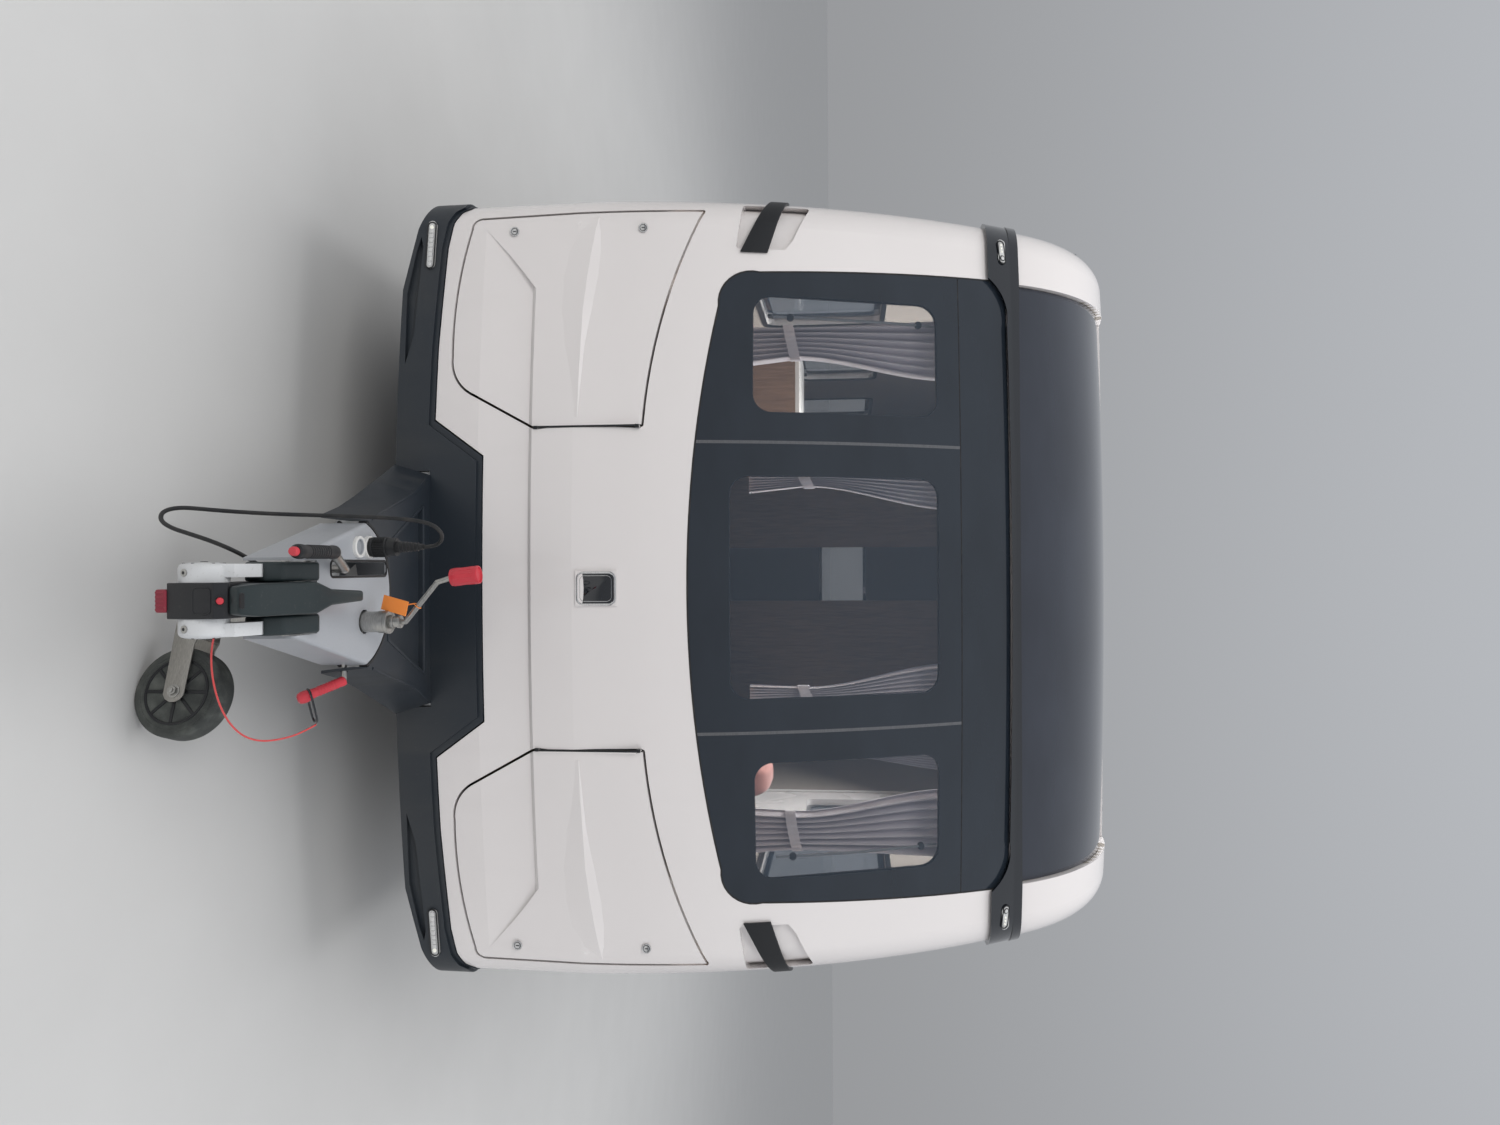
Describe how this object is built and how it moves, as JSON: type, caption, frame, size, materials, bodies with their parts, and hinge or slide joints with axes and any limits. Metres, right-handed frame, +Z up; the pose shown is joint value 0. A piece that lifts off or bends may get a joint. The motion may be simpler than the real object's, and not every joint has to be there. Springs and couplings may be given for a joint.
{
  "type": "travel caravan",
  "caption": "Single-axle touring caravan with a bowed three-pane front, two front locker doors, an entrance door, a braked drawbar with a jockey wheel and four corner steadies.",
  "frame": {"origin": "on the ground, midway along the overall length and on the centre line", "axes": "+X towards the side with the entrance door, -Y the direction of travel, +Z up"},
  "size_m": [2.346, 7, 2.62],
  "materials": {
    "awning_rails": "satin",
    "axle": "galvanised",
    "badge": "satin",
    "breakaway_cable": "satin",
    "bumper_front": "satin",
    "bumper_rear": "satin",
    "carabiner": "zinc",
    "chassis": "galvanised",
    "coupling": "gloss",
    "coupling_cheeks": "satin",
    "coupling_dock": "matte",
    "coupling_handle": "satin",
    "coupling_wings": "satin",
    "door_handle": "satin",
    "door_window": "gloss",
    "drawbar_cover": "satin",
    "drawbar_fairing": "satin",
    "entrance_door": "gloss",
    "floor": "matte",
    "front_bridge": "gloss",
    "front_lamps": "gloss",
    "front_panel": "gloss",
    "front_windows": "gloss",
    "furniture": "satin",
    "grab_handles": "satin",
    "handbrake_lever": "zinc",
    "header_panel": "gloss",
    "jockey_clamp": "zinc",
    "jockey_fork": "zinc",
    "jockey_stem": "zinc",
    "jockey_tube": "zinc",
    "jockey_wheel": "matte",
    "key_tag": "satin",
    "locker_door_near": "gloss",
    "locker_door_off": "gloss",
    "marker_lamps": "gloss",
    "rear_lamps": "gloss",
    "rear_panel": "gloss",
    "rear_window": "gloss",
    "road_cable": "satin",
    "road_plug": "satin",
    "roof": "gloss",
    "rooflights": "gloss",
    "seat_cushions": "matte",
    "service_hatches": "satin",
    "side_wall_near": "gloss",
    "side_wall_off": "gloss",
    "side_windows_near": "gloss",
    "side_windows_off": "gloss",
    "steady_front_near": "galvanised",
    "steady_front_off": "galvanised",
    "steady_rear_near": "galvanised",
    "steady_rear_off": "galvanised",
    "sunroof": "gloss",
    "tyre_near": "matte",
    "tyre_off": "matte",
    "wheel_near": "satin",
    "wheel_off": "satin",
    "window_strips": "matte"
  },
  "bodies": {
    "caravan": {"awning_rails": "awning_rails", "axle": "axle", "badge": "badge", "breakaway_cable": "breakaway_cable", "bumper_front": "bumper_front", "bumper_rear": "bumper_rear", "carabiner": "carabiner", "chassis": "chassis", "coupling": "coupling", "coupling_cheeks": "coupling_cheeks", "coupling_dock": "coupling_dock", "coupling_handle": "coupling_handle", "coupling_wings": "coupling_wings", "drawbar_cover": "drawbar_cover", "drawbar_fairing": "drawbar_fairing", "floor": "floor", "front_bridge": "front_bridge", "front_lamps": "front_lamps", "front_panel": "front_panel", "front_windows": "front_windows", "furniture": "furniture", "grab_handles": "grab_handles", "handbrake_lever": "handbrake_lever", "header_panel": "header_panel", "jockey_clamp": "jockey_clamp", "jockey_tube": "jockey_tube", "key_tag": "key_tag", "marker_lamps": "marker_lamps", "rear_lamps": "rear_lamps", "rear_panel": "rear_panel", "rear_window": "rear_window", "road_cable": "road_cable", "road_plug": "road_plug", "roof": "roof", "rooflights": "rooflights", "seat_cushions": "seat_cushions", "service_hatches": "service_hatches", "side_wall_near": "side_wall_near", "side_wall_off": "side_wall_off", "side_windows_near": "side_windows_near", "side_windows_off": "side_windows_off", "sunroof": "sunroof", "window_strips": "window_strips"},
    "wheel_off_side": {"wheel_off": "wheel_off", "tyre_off": "tyre_off"},
    "wheel_near_side": {"wheel_near": "wheel_near", "tyre_near": "tyre_near"},
    "jockey_stem": {"jockey_stem": "jockey_stem"},
    "jockey_fork": {"jockey_fork": "jockey_fork"},
    "jockey_wheel": {"jockey_wheel": "jockey_wheel"},
    "entrance_door": {"entrance_door": "entrance_door", "door_window": "door_window", "door_handle": "door_handle"},
    "locker_door_off": {"locker_door_off": "locker_door_off"},
    "locker_door_near": {"locker_door_near": "locker_door_near"},
    "steady_front_off": {"steady_front_off": "steady_front_off"},
    "steady_front_near": {"steady_front_near": "steady_front_near"},
    "steady_rear_off": {"steady_rear_off": "steady_rear_off"},
    "steady_rear_near": {"steady_rear_near": "steady_rear_near"}
  },
  "joints": [
    {"name": "wheel_off_spin", "type": "hinge", "parent": "caravan", "child": "wheel_off_side", "pos_m": [-1.002, 0.64, 0.325], "axis": [1, 0, 0], "continuous": true},
    {"name": "wheel_near_spin", "type": "hinge", "parent": "caravan", "child": "wheel_near_side", "pos_m": [1.002, 0.64, 0.325], "axis": [1, 0, 0], "continuous": true},
    {"name": "jockey_lift", "type": "slide", "parent": "caravan", "child": "jockey_stem", "axis": [0, 0, 1], "range_m": [-0.15, 0.045]},
    {"name": "jockey_swivel", "type": "hinge", "parent": "jockey_stem", "child": "jockey_fork", "pos_m": [0.064, -3.029, 0.162], "axis": [0, 0, 1], "continuous": true},
    {"name": "jockey_wheel_spin", "type": "hinge", "parent": "jockey_fork", "child": "jockey_wheel", "pos_m": [0.22853, -3.08246, 0.104], "axis": [0.309, 0.9511, 0], "continuous": true},
    {"name": "entrance_door_hinge", "type": "hinge", "parent": "caravan", "child": "entrance_door", "pos_m": [1.164, -0.563, 1.37], "axis": [0, 0, -1], "range_deg": [0, 100]},
    {"name": "locker_near_hinge", "type": "hinge", "parent": "caravan", "child": "locker_door_near", "pos_m": [0.4595, -2.47135, 0.89], "axis": [0, 0, -1], "range_deg": [0, 85]},
    {"name": "locker_off_hinge", "type": "hinge", "parent": "caravan", "child": "locker_door_off", "pos_m": [-0.4595, -2.47135, 0.89], "axis": [0, 0, 1], "range_deg": [0, 85]},
    {"name": "steady_front_off_hinge", "type": "hinge", "parent": "caravan", "child": "steady_front_off", "pos_m": [-0.6, -2.15, 0.392], "axis": [-1, 0, 0], "range_deg": [0, 68]},
    {"name": "steady_front_near_hinge", "type": "hinge", "parent": "caravan", "child": "steady_front_near", "pos_m": [0.6, -2.15, 0.392], "axis": [-1, 0, 0], "range_deg": [0, 68]},
    {"name": "steady_rear_off_hinge", "type": "hinge", "parent": "caravan", "child": "steady_rear_off", "pos_m": [-0.6, 3.18, 0.392], "axis": [1, 0, 0], "range_deg": [0, 68]},
    {"name": "steady_rear_near_hinge", "type": "hinge", "parent": "caravan", "child": "steady_rear_near", "pos_m": [0.6, 3.18, 0.392], "axis": [1, 0, 0], "range_deg": [0, 68]}
  ]
}
